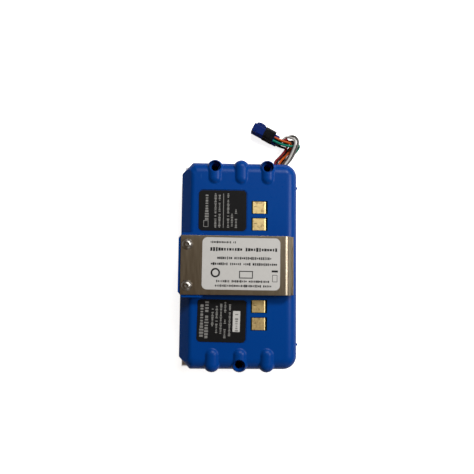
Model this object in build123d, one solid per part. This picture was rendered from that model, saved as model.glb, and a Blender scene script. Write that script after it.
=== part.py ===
from build123d import *
import math
import os

# Rechargeable battery pack of a body-worn instrument.
# +Z is the belt-clip side, +Y the harness end, +X the free end of the clip.
# The pack rests on its inner cover at z = 0. All sizes are in millimetres.

# Case
case_width = 61.0
case_length = 108.0
case_height = 21.5
wall = 2.0
top_wall = 2.2
corner_radius = 7.0
edge_radius = 6.0
hollow_edge_radius = 3.5
corner_cut_x = 5.6
corner_cut_y = 6.2
bevel = 5.7
bevel_rounding = 3.0

# Finger ribs and the three through screws
rib_radius = 4.2
rib_height = 1.55
rib_end_y = 51.0
rib_fillet = 1.0
top_rib_x = (-13.1, 0.75, 14.6)
top_rib_start = 45.3
bottom_rib_x = (-13.5, 0.7, 14.6)
bottom_rib_start = 46.2
screw_holes = ((-13.1, 51.3), (14.6, 51.3), (0.5, -51.4))
screw_hole_radius = 2.0
counterbore_radius = 3.1
counterbore_floor = case_height - 2.6
boss_ledge_radius = 5.0
nub_y = 41.4
nub_z = 11.5
nub_radius = 0.75
nub_height = 7.0

# Inner cover and its seal
cover_thickness = 2.0
cover_panel = (44.0, 76.0)
cover_panel_depth = 0.4
seal_height = 0.6
rebate = 1.0
cover_gap = 0.1
post_radius = 2.6
post_hole_depth = 7.5
post_xy = ((-21.5, 48.4), (0.75, 48.4), (-21.5, -48.4), (22.5, -48.4))
cover_screw_radius = 1.0

# Charging contacts: centres along Y, all on one line along X
contact_x = 10.45
contact_y = (29.8, 21.0, -21.5, -30.4)
contact_width = 7.05
contact_length = 6.15
contact_sheet = 0.4
contact_sink = 0.4
window_width = 8.45
window_length = 6.8
window_x = 10.42
board_x = (2.0, 24.0)
board_half_length = 36.0
board_peg_inset = 2.0
board_top = case_height - top_wall - 0.2
board_thickness = 0.8

# Stick-on labels in shallow recesses
label_sheet = 0.3
label_recess = 0.35
label_corner = 2.0
upper_label = (-8.87, 27.95, 24.75, 21.2, 0.0)
lower_label = (-8.7, -28.93, 24.95, 21.6, -1.2)
serial_sticker = (-1.1, -29.2, 3.7, 10.6, -1.2)
sticker_sheet = 0.1

# Belt clip on its boss
clip_centre_y = -0.6
clip_width = 30.1
clip_left_x = -29.85
clip_sheet = 0.8
clip_boss_height = 4.6
clip_split_x = -20.2
clip_bend_x = 24.6
clip_slope_x = 27.0
clip_tip_x = 28.0
clip_tip_gap = 0.5
clip_bend_radius = 3.0
clip_lip_radius = 0.6
clip_screw_x = -26.5
clip_screw_y = (9.8, -11.0)
clip_screw_head_radius = 2.85
clip_screw_head_height = 1.65
clip_screw_length = 6.0
clip_screw_radius = 1.5
insert_radius = 2.1
insert_length = 5.0
clip_label = (0.85, 0.15, 39.6, 26.4, -0.35)
clip_label_corner = 2.6
boss_left_x = -31.05
boss_right_x = -18.6
boss_overhang_y = 0.75

# Cells lie across the case, in a row along Y
cell_radius = 7.0
sleeve_thickness = 0.2
cell_pitch = 14.6
cell_count = 6
cell_half_length = 25.05
can_length = 48.9
can_wall = 0.3
can_base = 0.4
lid_thickness = 1.0
cap_radius = 2.75
cell_axis_z = 10.15
strap_thickness = 0.15

# Harness: eight insulated wires through a grommet to a two-row connector
wire_radius = 0.65
wire_clearance = 0.03
outlet_x = (19.2, 27.0)
outlet_z = (3.6, 7.2)
inside_y = 45.6
grommet_inner_y = 50.8
grommet_outer_y = 54.9
upper_row_x = (20.1, 21.8, 23.5, 25.2)
lower_row_x = (20.95, 22.65, 24.35, 26.05)
upper_row_z = 6.3
lower_row_z = 4.5

# Connector, lying on its side: its mating end, its direction and its size
plug_tip = (7.7, 77.4)
plug_turn = -27.75
plug_length = 15.9
plug_width = 5.0
plug_height = 7.05
plug_base_z = 0.4
plug_step = 13.3
plug_rows = (0.45, -1.55)
plug_levels = (1.45, 3.1, 4.75, 6.4)
plug_wire_end = 13.6
plug_top_wire_end = 12.8
tape_start = 7.0
tape_end = 13.05
tape_thickness = 0.3
latch_gap = 0.75
latch_leaf = 0.5
latch_bump = 0.85
latch_root = 7.25

top_z = case_height
boss_top_z = top_z + clip_boss_height
clip_top_z = boss_top_z + clip_sheet
cell_row = [(i - (cell_count - 1) / 2) * cell_pitch for i in range(cell_count)]


def save(name, solids):
    """Write one node; a list of solids stays a group of separate solids."""
    single = isinstance(solids, (Part, Compound, Solid))
    shape = solids if single else Compound(children=list(solids))
    shape.label = name
    export_step(shape, f"parts/{name}.step")


def block(x, y, z):
    """A box from its low and high ends along each axis."""
    size = (x[1] - x[0], y[1] - y[0], z[1] - z[0])
    return Pos((x[0] + x[1]) / 2, (y[0] + y[1]) / 2, (z[0] + z[1]) / 2) * Box(*size)


def rod(x, y, z_low, z_high, radius):
    """An upright cylinder."""
    return Pos(x, y, (z_low + z_high) / 2) * Cylinder(radius, z_high - z_low)


def discs(places, radius):
    """Flat discs at several places, to cut out of a flat outline."""
    return Sketch() + [Pos(x, y) * Circle(radius) for x, y in places]


def raise_up(face, z_low, z_high):
    """A flat outline made solid between two heights."""
    return Pos(0, 0, z_low) * extrude(face, z_high - z_low)


def case_outline():
    """Plan outline: two cut corners on the left, two round corners on the right."""
    half_x = case_width / 2
    half_y = case_length / 2
    face = Rectangle(case_width, case_length)
    right = face.vertices().sort_by(Axis.X)[2:]
    face = fillet(right, corner_radius)
    for side in (1, -1):
        cut = Polyline(
            (-half_x - 1, side * (half_y - corner_cut_y) - side * corner_cut_y / corner_cut_x),
            (-half_x + corner_cut_x + 1, side * half_y + side * corner_cut_y / corner_cut_x),
            (-half_x - 1, side * half_y + side * corner_cut_y / corner_cut_x),
            close=True,
        )
        face -= make_face(cut)
    return face


def bevel_prism(inset, rounding=0.01):
    """What the long flat bevel takes off the left edge; inset moves it inwards."""
    half_x = case_width / 2
    level = top_z - inset * math.sqrt(2)
    reach = 6.0
    along_top = rounding * math.tan(math.radians(22.5))
    along_slope = along_top / math.sqrt(2)
    on_top = (-half_x + bevel + along_top, level)
    on_slope = (-half_x + bevel - along_slope, level - along_slope)
    outside = Polyline(
        on_top, (on_top[0], level + reach), (-half_x - reach, level + reach),
        (-half_x - reach, level - bevel - reach), on_slope,
    )
    edge_round = TangentArc(on_slope, on_top, tangent=(1, 1))
    return extrude(Plane.XZ * make_face([outside, edge_round]), case_length, both=True)


def case_body():
    """Outside of the case without ribs: soft top edges, then the flat left bevel."""
    body = extrude(case_outline(), case_height)
    corner_verticals = body.edges().filter_by(Axis.Z).filter_by_position(Axis.X, -case_width, 0)
    body = fillet(corner_verticals, 1.0)
    top_edges = body.faces().sort_by(Axis.Z)[-1].edges()
    soft = top_edges.filter_by_position(Axis.X, -case_width / 2 + corner_cut_x + 0.8, case_width)
    body = fillet(soft, edge_radius)
    body -= bevel_prism(0, bevel_rounding)
    return body


def finger_rib(x, side, start_y):
    """A half-round rib that lies on the top face and runs down the end wall."""
    z = top_z + rib_height - rib_radius
    lying = Pos(x, side * (start_y + rib_end_y) / 2, z) * Rot(90, 0, 0)
    rib = lying * Cylinder(rib_radius, rib_end_y - start_y)
    rib += Pos(x, side * start_y, z) * Sphere(rib_radius)
    rib += Pos(x, side * rib_end_y, z) * Sphere(rib_radius)
    rib += rod(x, side * rib_end_y, 0, z, rib_radius)
    return rib


def rib_base(shell, x, side, start_y):
    """The edges where one finger rib meets the top face and the end wall."""
    def at_base(edge):
        middle = edge @ 0.5
        beside = abs(middle.X - x) < rib_radius and side * middle.Y > start_y - rib_radius
        return beside and 0 < middle.Z <= top_z and abs(middle.Y) <= case_length / 2

    return shell.edges().filter_by(at_base)


def clip_boss():
    """Raised seat for the clip, over the bevel and a little proud of the left wall."""
    half = clip_width / 2 + boss_overhang_y
    low_y = clip_centre_y - half
    high_y = clip_centre_y + half
    corner = 2.2
    plan = Polyline(
        (boss_left_x + corner, low_y - 0.6),
        (boss_right_x, low_y - 0.6),
        (boss_right_x, high_y + 0.6),
        (boss_left_x + corner, high_y + 0.6),
        (boss_left_x, high_y - corner),
        (boss_left_x, low_y + corner),
        close=True,
    )
    low_z = top_z - 9.0
    seat = raise_up(make_face(plan), low_z, boss_top_z)
    ramp = chamfer(seat.edges().filter_by(Axis.Y).group_by(Axis.X)[-1].sort_by(Axis.Z)[-1:], 1.6)
    foot = ramp.edges().filter_by(Axis.Y).group_by(Axis.X)[0].sort_by(Axis.Z)[:1]
    return chamfer(foot, 1.1)


def label_place(spec):
    """Where a label lies in plan: centre and turn."""
    return Pos(spec[0], spec[1]) * Rot(0, 0, spec[4])


def label_plate(spec, corner, z_low, sheet, margin=0.0):
    """A rounded rectangle of sheet, or with a margin the recess that it lies in."""
    plate = RectangleRounded(spec[2] + 2 * margin, spec[3] + 2 * margin, corner + margin)
    return raise_up(label_place(spec) * plate, z_low, z_low + sheet)


def rear_shell():
    """The moulded case with ribs, bosses, recesses, windows and a hollow for the cells."""
    shell = case_body()
    for side, places, start_y in ((1, top_rib_x, top_rib_start), (-1, bottom_rib_x, bottom_rib_start)):
        for x in places:
            shell += finger_rib(x, side, start_y)
            shell = fillet(rib_base(shell, x, side, start_y), rib_fillet)
    shell += clip_boss()
    for side in (1, -1):
        shell += Pos(case_width / 2, side * nub_y, nub_z) * Cylinder(nub_radius, nub_height)

    inside = raise_up(offset(case_outline(), -wall), cover_thickness, top_z - top_wall)
    inside = fillet(inside.faces().sort_by(Axis.Z)[-1].edges(), hollow_edge_radius)
    inside -= bevel_prism(wall)
    for x, y in screw_holes:
        inside -= rod(x, y, cover_thickness - 1, top_z, boss_ledge_radius)
    for x, y in post_xy:
        inside -= rod(x, y, cover_thickness, top_z, post_radius)
    shell -= inside
    seat = offset(case_outline(), -rebate) - discs(screw_holes, rib_radius)
    shell -= raise_up(seat, -0.5, cover_thickness + seal_height)
    for x, y in post_xy:
        shell += rod(x, y, cover_thickness, top_z - top_wall, post_radius)
        shell -= rod(x, y, cover_thickness - 1, cover_thickness + post_hole_depth, cover_screw_radius + 0.02)

    for x, y in screw_holes:
        shell -= rod(x, y, -1, top_z + 3, screw_hole_radius)
        shell -= rod(x, y, counterbore_floor, top_z + 3, counterbore_radius)
    for y in clip_screw_y:
        shell -= rod(clip_screw_x, y, boss_top_z - insert_length, boss_top_z + 1, insert_radius)
        tip_room = boss_top_z - insert_length - 1.2
        shell -= rod(clip_screw_x, y, tip_room, boss_top_z, clip_screw_radius + 0.1)
    for y in contact_y:
        window = (window_x - window_width / 2, window_x + window_width / 2)
        shell -= block(window, (y - window_length / 2, y + window_length / 2), (top_z - 3, top_z + 1))
    for spec in (upper_label, lower_label):
        shell -= label_plate(spec, label_corner, top_z - label_recess, 2.0, margin=0.45)
    for x, y in board_peg_places():
        shell += rod(x, y, board_top - board_thickness - 0.3, top_z - top_wall, 1.0)
    shell -= block(outlet_x, (inside_y + 3.5, 58), outlet_z)
    return shell


def board_peg_places():
    """Four pegs that the contact board is staked on."""
    half = board_half_length - board_peg_inset
    sides = (board_x[0] + board_peg_inset, board_x[1] - board_peg_inset)
    return [(x, y) for x in sides for y in (-half, half)]


def inner_cover():
    """Flat cover of the inner face, with clearance round the screw bosses."""
    face = offset(case_outline(), -rebate - cover_gap) - discs(screw_holes, rib_radius + 0.15)
    cover = raise_up(face, 0, cover_thickness)
    cover -= raise_up(RectangleRounded(*cover_panel, 3.0), -0.5, cover_panel_depth)
    for x, y in post_xy:
        cover -= rod(x, y, -1, 3, cover_screw_radius + 0.15)
        cover -= Pos(x, y, 0.5) * Cone(2.1, cover_screw_radius + 0.15, 1.0)
    return cover


def cover_seal():
    """Rubber cord seal between the cover and the ledge of the shell."""
    ring = offset(case_outline(), -rebate - cover_gap) - discs(screw_holes, rib_radius + 0.15)
    ring -= offset(case_outline(), -wall) - discs(screw_holes, boss_ledge_radius)
    return raise_up(ring, cover_thickness, cover_thickness + seal_height)


def cover_screws():
    """Countersunk screws that hold the cover to the posts."""
    made = []
    for x, y in post_xy:
        screw = Pos(x, y, 0.6) * Cone(1.95, cover_screw_radius, 0.9)
        screw += rod(x, y, 1.0, cover_thickness + 7.0, cover_screw_radius)
        screw -= Pos(x, y, 0.15) * Box(0.5, 2.4, 0.6)
        screw -= Pos(x, y, 0.15) * Box(2.4, 0.5, 0.6)
        made.append(screw)
    return made


def charge_contact(y):
    """Gold-plated strip folded round its right edge: top plate, leg and foot."""
    left = contact_x - contact_width / 2
    right = contact_x + contact_width / 2
    top = top_z - contact_sink
    bend = 0.9
    outside = Polyline(
        (left, top), (right, top), (right, board_top), (right - 4.0, board_top),
        (right - 4.0, board_top + contact_sheet),
        (right - contact_sheet, board_top + contact_sheet),
        (right - contact_sheet, top - contact_sheet),
        (left, top - contact_sheet), close=True,
    )
    profile = make_face(outside)
    corner = profile.vertices().sort_by(lambda v: -v.X - v.Y)[0]
    profile = fillet(corner, bend)
    solid = extrude(Plane.XZ * profile, contact_length / 2, both=True)
    return Pos(0, y, 0) * solid


def contact_board():
    """Circuit board under the top wall, staked on four pegs."""
    z = (board_top - board_thickness, board_top)
    board = block(board_x, (-board_half_length, board_half_length), z)
    for x, y in board_peg_places():
        board -= rod(x, y, z[0] - 1, z[1] + 1, 1.05)
    return board


def board_part(x, y, width, length, height=0.5):
    """A surface-mounted part on the underside of the contact board."""
    z = board_top - board_thickness
    body = block((x - width / 2, x + width / 2), (y - length / 2, y + length / 2), (z - height, z))
    return chamfer(body.edges().group_by(Axis.Z)[0], 0.1)


def insulating_sheet():
    """Sheet between the cells and the board."""
    z = cell_axis_z + cell_radius + sleeve_thickness + 0.1
    sheet = block((-22.0, 25.0), (-42.0, 42.0), (z, z + 0.2))
    for x, y in board_peg_places():
        sheet -= rod(x, y, z - 1, z + 1, 1.3)
    return sheet


def along_x(x_low, x_high, y, z, radius):
    """A cylinder that lies along X."""
    return Pos((x_low + x_high) / 2, y, z) * Rot(0, 90, 0) * Cylinder(radius, x_high - x_low)


def cell_round(index, start, end, radius):
    """A round piece of one cell, measured along it from its flat end; neighbours are turned round."""
    turn = 1 if index % 2 == 0 else -1
    ends = sorted((turn * (start - cell_half_length), turn * (end - cell_half_length)))
    return along_x(ends[0], ends[1], cell_row[index], cell_axis_z, radius)


def cell_can(index):
    """Steel cup of one cell, open at the positive end."""
    can = cell_round(index, 0, can_length, cell_radius)
    can -= cell_round(index, can_base, can_length + 1, cell_radius - can_wall)
    return can


def cell_roll(index):
    """The wound electrodes inside the can."""
    return cell_round(index, can_base, can_length - lid_thickness - 0.3, cell_radius - can_wall - 0.02)


def cell_cap(index):
    """Lid in the mouth of the can, with the positive button on it."""
    lid = cell_round(index, can_length - lid_thickness, can_length, cell_radius - can_wall - 0.02)
    return lid + cell_round(index, can_length, 2 * cell_half_length, cap_radius)


def cap_ring(index):
    """Fibre ring round the positive button."""
    ring = cell_round(index, can_length, can_length + 0.5, cell_radius - 0.7)
    return ring - cell_round(index, 0, 2 * cell_half_length, cap_radius + 0.2)


def cell_sleeve(index):
    """Shrink sleeve round the can."""
    tube = cell_round(index, 0.1, can_length - 0.1, cell_radius + sleeve_thickness)
    return tube - cell_round(index, 0, can_length, cell_radius)


def strap(side, y_low, y_high):
    """A nickel strap on the cell ends of one side."""
    x = sorted((side * cell_half_length, side * (cell_half_length + strap_thickness)))
    return block(x, (y_low - 3.0, y_high + 3.0), (cell_axis_z - 2.5, cell_axis_z + 2.5))


def series_straps(side, first):
    """The straps of one side; each joins two neighbouring cells."""
    return [strap(side, cell_row[i], cell_row[i + 1]) for i in range(first, cell_count - 1, 2)]


def grommet():
    """Rubber block moulded in the wire outlet, with a flange outside."""
    body = block(outlet_x, (grommet_inner_y, case_length / 2 + 0.1), outlet_z)
    body &= raise_up(offset(case_outline(), 2.0), 0, 20)
    body += block((outlet_x[0] - 0.4, outlet_x[1] + 0.3), (case_length / 2, grommet_outer_y),
                  (outlet_z[0] - 0.6, outlet_z[1] + 0.6))
    hole = wire_radius + wire_clearance
    for row, z in ((upper_row_x, upper_row_z), (lower_row_x, lower_row_z)):
        for x in row:
            body -= Pos(x, 53, z) * Rot(90, 0, 0) * Cylinder(hole, 12)
    return body


def harness_board():
    """Small upright board that the eight wires are soldered to."""
    return block((19.4, 27.0), (inside_y - 1.0, inside_y), (4.5, 17.0))


def at_plug(along, across, z):
    """A point near the connector: along its axis from its mating end, and across it."""
    a = math.radians(plug_turn)
    x = plug_tip[0] + along * math.cos(a) - across * math.sin(a)
    y = plug_tip[1] + along * math.sin(a) + across * math.cos(a)
    return (x, y, z)


def plug_place():
    """Puts a shape drawn along +X from the mating end where the connector lies."""
    return Pos(plug_tip[0], plug_tip[1], 0) * Rot(0, 0, plug_turn)


def into_plug(across, level, end):
    """The last two points of a wire: straight in line with its cavity."""
    z = plug_levels[level]
    return [at_plug(17.6, across, z), at_plug(end, across, z)]


def wire_routes():
    """Each wire's route from the harness board to its cavity in the connector."""
    upper = [[(x, inside_y, 8.6), (x, 50.3, upper_row_z), (x, 56.0, upper_row_z)] for x in upper_row_x]
    lower = [[(x, inside_y, 6.6), (x, 50.3, lower_row_z), (x, 56.0, lower_row_z)] for x in lower_row_x]
    north, south = plug_rows
    end = plug_wire_end
    top_end = plug_top_wire_end
    return {
        "wire_red": upper[0] + [
            (19.9, 57.8, 6.0), (22.6, 60.4, 5.2), (25.3, 63.6, 4.2), (27.0, 66.6, 3.1),
            (27.9, 69.2, 2.9), (27.4, 70.9, 3.6), (25.8, 70.8, 4.6),
        ] + into_plug(north, 2, end),
        "wire_orange": upper[1] + [
            (23.6, 58.9, 5.2), (26.3, 61.5, 3.8), (28.2, 64.0, 2.9), (29.3, 66.4, 3.4),
            (29.2, 68.2, 5.3), (27.2, 68.8, 6.3),
        ] + into_plug(north, 3, top_end),
        "wire_brown": upper[2] + [
            (26.0, 58.4, 5.0), (27.8, 61.0, 5.0), (29.3, 63.7, 4.7), (30.5, 66.6, 4.5),
            (30.9, 69.2, 4.6), (29.8, 70.2, 4.9), (27.4, 68.9, 4.5),
        ] + into_plug(south, 2, end),
        "wire_white": upper[3] + [
            (27.4, 58.6, 6.6), (28.9, 61.6, 6.8), (30.2, 64.6, 7.2), (31.1, 67.4, 7.9),
            (31.3, 70.2, 7.4), (28.6, 71.9, 5.4), (26.2, 72.8, 3.2),
        ] + into_plug(north, 1, end),
        "wire_black_long": lower[0] + [
            (21.4, 58.6, 4.4), (24.2, 61.0, 3.4), (26.4, 63.8, 2.3), (28.6, 66.2, 1.9),
            (30.2, 68.6, 1.7), (29.6, 71.0, 1.6), (27.2, 70.2, 1.4),
        ] + into_plug(south, 1, end),
        "wire_black_short": lower[1] + [
            (25.2, 59.6, 2.4), (27.0, 62.6, 0.8), (27.6, 65.2, 0.75), (26.6, 66.9, 0.8),
            (24.9, 67.3, 1.0),
        ] + into_plug(south, 0, end),
        "wire_green": lower[2] + [
            (26.6, 59.4, 3.0), (29.4, 61.6, 2.3), (32.2, 64.4, 1.9), (33.9, 66.6, 2.4),
            (33.9, 67.8, 4.4), (31.4, 66.8, 6.1), (27.4, 66.6, 6.6),
        ] + into_plug(south, 3, top_end),
        "wire_grey": lower[3] + [
            (28.4, 58.4, 4.6), (30.2, 61.2, 5.4), (31.5, 64.4, 6.4), (32.6, 67.2, 7.5),
            (33.0, 70.2, 6.2), (31.4, 73.0, 4.4), (28.6, 73.4, 2.8), (26.0, 72.0, 1.7),
        ] + into_plug(north, 0, end),
    }


def bend_radii(points):
    """As large an arc at each corner as its two runs allow."""
    corners = [Vector(*p) for p in points]
    radii = []
    for before, at, after in zip(corners, corners[1:], corners[2:]):
        one = at - before
        two = after - at
        half_turn = math.radians(one.get_angle(two)) / 2
        radii.append(0.45 * min(one.length, two.length) / math.tan(half_turn))
    return radii


def wire(name, points):
    """One insulated wire: straight runs joined by tangent arcs."""
    radii = bend_radii(points)
    path = FilletPolyline(*points, radius=radii)
    start = Plane(origin=path @ 0, z_dir=path % 0)
    solid = sweep(start * Circle(wire_radius), path=path)
    section = math.pi * wire_radius**2
    print(name, "radii", [round(r, 1) for r in radii], "length", round(path.length, 1),
          "volume ratio", round(solid.volume / (section * path.length), 4))
    return solid


def connector_housing():
    """Two-row receptacle with a stepped rear, side slot for the latch and eight cavities."""
    top = plug_base_z + plug_height
    low = plug_base_z
    half = plug_width / 2
    body = block((0, plug_step), (-half, half), (low, top))
    body = fillet(body.edges().filter_by(Axis.X) + body.faces().sort_by(Axis.X)[0].edges(), 0.5)
    body += block((plug_step - 1, plug_length), (-half, half), (low, plug_levels[3] - wire_radius - 0.25))
    hole = wire_radius + wire_clearance
    for across in plug_rows:
        for level, z in enumerate(plug_levels):
            end = plug_top_wire_end if level == 3 else plug_wire_end
            body -= along_x(end, plug_length + 1, across, z, hole)
            body -= block((-1, end), (across - 0.62, across + 0.62), (z - 0.62, z + 0.62))
    polarising_notch = block((-1, 1.2), (-half - 1, -half + 0.5), (low + 3.4, low + 5.0))
    body -= polarising_notch
    body -= rod(2.4, -half + 0.7, top - 0.3, top + 1, 0.4)
    body += block((latch_root, latch_root + 3.2), (half - 0.1, half + latch_gap + latch_leaf), latch_z())
    return plug_place() * body


def latch_z():
    """The latch's span in height, in the middle of the housing's side."""
    return (plug_base_z + 2.2, plug_base_z + plug_height - 2.2)


def connector_latch():
    """Springy side lever with a rounded thumb bump and a hook at its free end."""
    inner = plug_width / 2 + latch_gap
    outer = inner + latch_leaf
    side = Polyline(
        (1.0, inner - 0.35), (1.7, inner - 0.35), (1.9, inner), (latch_root - 0.05, inner),
        (latch_root - 0.05, outer), (6.5, outer + 0.05), (5.6, outer + 0.6), (4.6, outer + latch_bump),
        (3.0, outer + latch_bump), (1.9, outer + 0.55), (1.0, outer), close=True,
    )
    lever = fillet(make_face(side).vertices().sort_by(Axis.Y)[-2:], 0.6)
    return plug_place() * raise_up(lever, *latch_z())


def connector_terminals():
    """Crimp sockets, one ahead of each wire."""
    made = []
    for across in plug_rows:
        for level, z in enumerate(plug_levels):
            end = plug_top_wire_end if level == 3 else plug_wire_end
            socket = block((1.0, end), (across - 0.6, across + 0.6), (z - 0.6, z + 0.6))
            socket -= block((0, 7.0), (across - 0.35, across + 0.35), (z - 0.35, z + 0.35))
            made.append(plug_place() * socket)
    return made


def connector_tape():
    """Band of tape round the housing and the root of the latch."""
    half = plug_width / 2 + 0.02
    high = plug_height / 2 + 0.02
    north = half + latch_gap + latch_leaf
    latch_half = plug_height / 2 - 2.0
    section = Polyline(
        (-half, -high), (half, -high), (north, -latch_half),
        (north, latch_half), (half, high), (-half, high),
        close=True,
    )
    inner = make_face(section)
    skin = offset(inner, tape_thickness) - inner
    middle_z = plug_base_z + plug_height / 2
    place = Plane(origin=(tape_start, 0, middle_z), x_dir=(0, 1, 0), z_dir=(1, 0, 0))
    return plug_place() * extrude(place * skin, tape_end - tape_start)


def clip_base():
    """Fixed leaf of the belt clip, under the two screws."""
    y = (clip_centre_y - clip_width / 2, clip_centre_y + clip_width / 2)
    leaf = block((clip_left_x, clip_split_x), y, (boss_top_z, clip_top_z))
    leaf = fillet(leaf.edges().filter_by(Axis.Z).group_by(Axis.X)[0], 0.8)
    for hole_y in clip_screw_y:
        leaf -= rod(clip_screw_x, hole_y, boss_top_z - 1, clip_top_z + 1, clip_screw_radius + 0.1)
    return leaf


def clip_arm():
    """Springing arm: flat, then down a steep slope to a small flared lip."""
    middle = boss_top_z + clip_sheet / 2
    tip_z = top_z + clip_tip_gap + clip_sheet / 2
    path = FilletPolyline(
        (clip_split_x, 0, middle), (clip_bend_x, 0, middle), (clip_slope_x, 0, tip_z + 0.1),
        (clip_tip_x - 0.2, 0, tip_z + 0.9), radius=[clip_bend_radius, clip_lip_radius],
    )
    start = Plane(origin=path @ 0, x_dir=(0, 1, 0), z_dir=path % 0)
    arm = sweep(start * Rectangle(clip_width, clip_sheet), path=path, transition=Transition.RIGHT)
    return Pos(0, clip_centre_y, 0) * arm


def clip_screws():
    """Button-head socket screws."""
    made = []
    radius = clip_screw_head_radius
    height = clip_screw_head_height
    for y in clip_screw_y:
        dome_radius = (radius**2 + height**2) / (2 * height)
        head = Pos(clip_screw_x, y, clip_top_z + height - dome_radius) * Sphere(dome_radius)
        head &= rod(clip_screw_x, y, clip_top_z, clip_top_z + height, radius)
        head -= raise_up(Pos(clip_screw_x, y) * RegularPolygon(1.15, 6), clip_top_z + 0.5, clip_top_z + 3)
        shank = rod(clip_screw_x, y, clip_top_z - clip_screw_length, clip_top_z, clip_screw_radius)
        made.append(head + shank)
    return made


def clip_inserts():
    """Brass inserts moulded into the clip boss."""
    made = []
    for y in clip_screw_y:
        insert = rod(clip_screw_x, y, boss_top_z - insert_length, boss_top_z - 0.05, insert_radius)
        insert -= rod(clip_screw_x, y, boss_top_z - 9, boss_top_z + 1, clip_screw_radius + 0.02)
        made.append(insert)
    return made


def write_case():
    save("rear_shell", rear_shell())
    save("inner_cover", inner_cover())
    save("cover_seal", cover_seal())
    save("cover_screws", cover_screws())
    save("upper_label", label_plate(upper_label, label_corner, top_z - label_recess, label_sheet))
    save("lower_label", label_plate(lower_label, label_corner, top_z - label_recess, label_sheet))
    sticker_z = top_z - label_recess + label_sheet
    save("serial_sticker", label_plate(serial_sticker, 0.3, sticker_z, sticker_sheet))


def write_clip():
    save("belt_clip_base", clip_base())
    save("belt_clip_arm", clip_arm())
    save("clip_screws", clip_screws())
    save("clip_inserts", clip_inserts())
    save("clip_label", label_plate(clip_label, clip_label_corner, clip_top_z, sticker_sheet))


def write_electrics():
    for number, y in enumerate(contact_y, 1):
        save(f"charge_contact_{number}", charge_contact(y))
    save("contact_board", contact_board())
    save("insulating_sheet", insulating_sheet())
    save("resettable_fuse", board_part(19.0, 0.0, 3.2, 4.6))
    save("blocking_diodes", [board_part(19.0, y, 1.6, 2.8) for y in (12.0, -12.0)])
    save("thermistor", Pos(10.0, 0.0, 16.0) * Sphere(1.2))
    save("harness_board", harness_board())


def write_cells():
    for index in range(cell_count):
        save(f"cell_can_{index + 1}", cell_can(index))
        save(f"cell_sleeve_{index + 1}", cell_sleeve(index))
    save("cell_rolls", [cell_roll(i) for i in range(cell_count)])
    save("cell_caps", [cell_cap(i) for i in range(cell_count)])
    save("cap_rings", [cap_ring(i) for i in range(cell_count)])
    save("straps_right", series_straps(1, 0))
    save("straps_left", series_straps(-1, 1))
    save("end_tabs", [strap(-1, y, y) for y in (cell_row[0], cell_row[-1])])
    pad_x = cell_half_length + strap_thickness
    save("end_pads", [
        block((pad_x, pad_x + 2.5), (-40, 40), (6.0, 14.0)),
        block((-pad_x - 2.5, -pad_x), (-40, 40), (6.0, 14.0)),
    ])
    foam_top = cell_axis_z - cell_radius - sleeve_thickness
    save("cell_foam", block((-22, 22), (-42, 42), (cover_thickness, foam_top)))


def write_harness():
    save("wire_grommet", grommet())
    for name, points in wire_routes().items():
        save(name, wire(name, points))
    save("connector_housing", connector_housing())
    save("connector_latch", connector_latch())
    save("connector_terminals", connector_terminals())
    save("connector_tape", connector_tape())


os.makedirs("parts", exist_ok=True)
write_case()
write_clip()
write_electrics()
write_cells()
write_harness()
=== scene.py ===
import math

import bmesh
import bpy
from mathutils import Matrix, Vector, noise


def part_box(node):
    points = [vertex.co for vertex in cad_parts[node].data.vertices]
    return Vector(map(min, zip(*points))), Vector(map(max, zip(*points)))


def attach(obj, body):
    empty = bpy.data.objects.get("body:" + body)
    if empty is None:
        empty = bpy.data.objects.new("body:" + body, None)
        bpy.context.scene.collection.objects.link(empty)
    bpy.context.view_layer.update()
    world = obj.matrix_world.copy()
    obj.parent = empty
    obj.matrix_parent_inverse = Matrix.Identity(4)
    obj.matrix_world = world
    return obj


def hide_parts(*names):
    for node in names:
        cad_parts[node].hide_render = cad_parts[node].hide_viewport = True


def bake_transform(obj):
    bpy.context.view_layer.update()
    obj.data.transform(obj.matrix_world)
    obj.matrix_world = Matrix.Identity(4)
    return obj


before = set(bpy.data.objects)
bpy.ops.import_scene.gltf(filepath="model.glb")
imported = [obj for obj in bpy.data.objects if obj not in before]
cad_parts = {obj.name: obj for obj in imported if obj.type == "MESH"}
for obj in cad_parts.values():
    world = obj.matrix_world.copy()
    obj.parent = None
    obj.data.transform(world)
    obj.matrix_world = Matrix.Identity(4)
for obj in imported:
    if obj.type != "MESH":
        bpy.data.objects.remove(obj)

scene = bpy.context.scene
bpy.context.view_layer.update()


# Camera
# It hangs 0.27 m above the clip side, a little left of the middle, and looks almost straight down.
lens_mm = 39.49
camera_place = Vector((-0.0108, -0.0084, 0.2901))
camera_turn = (
    Matrix.Rotation(math.radians(-4.78), 3, "X")
    @ Matrix.Rotation(math.radians(2.09), 3, "Y")
    @ Matrix.Rotation(math.radians(-0.60), 3, "Z")
).transposed()
camera_data = bpy.data.cameras.new("camera")
camera_data.lens = lens_mm
camera_data.sensor_width = 36.0
camera_data.clip_start = 0.01
camera = bpy.data.objects.new("camera", camera_data)
scene.collection.objects.link(camera)
camera.matrix_world = Matrix.Translation(camera_place) @ camera_turn.to_4x4()
scene.camera = camera
scene.view_settings.view_transform = "Standard"


# Light and floor
# A white table under softboxes at the right, the top and between them, and one weak fill. The ceiling
# straight above stays dark and warm, so that the bright metal has something deep to mirror.
def softbox(name, place, size, watts):
    """A square area light that faces the middle of the pack."""
    light = bpy.data.lights.new(name, "AREA")
    light.shape = "SQUARE"
    light.size = size
    light.energy = watts
    lamp = bpy.data.objects.new(name, light)
    scene.collection.objects.link(lamp)
    lamp.location = place
    lamp.rotation_euler = Vector(place).to_track_quat("Z", "Y").to_euler()
    lamp.visible_camera = False


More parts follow.
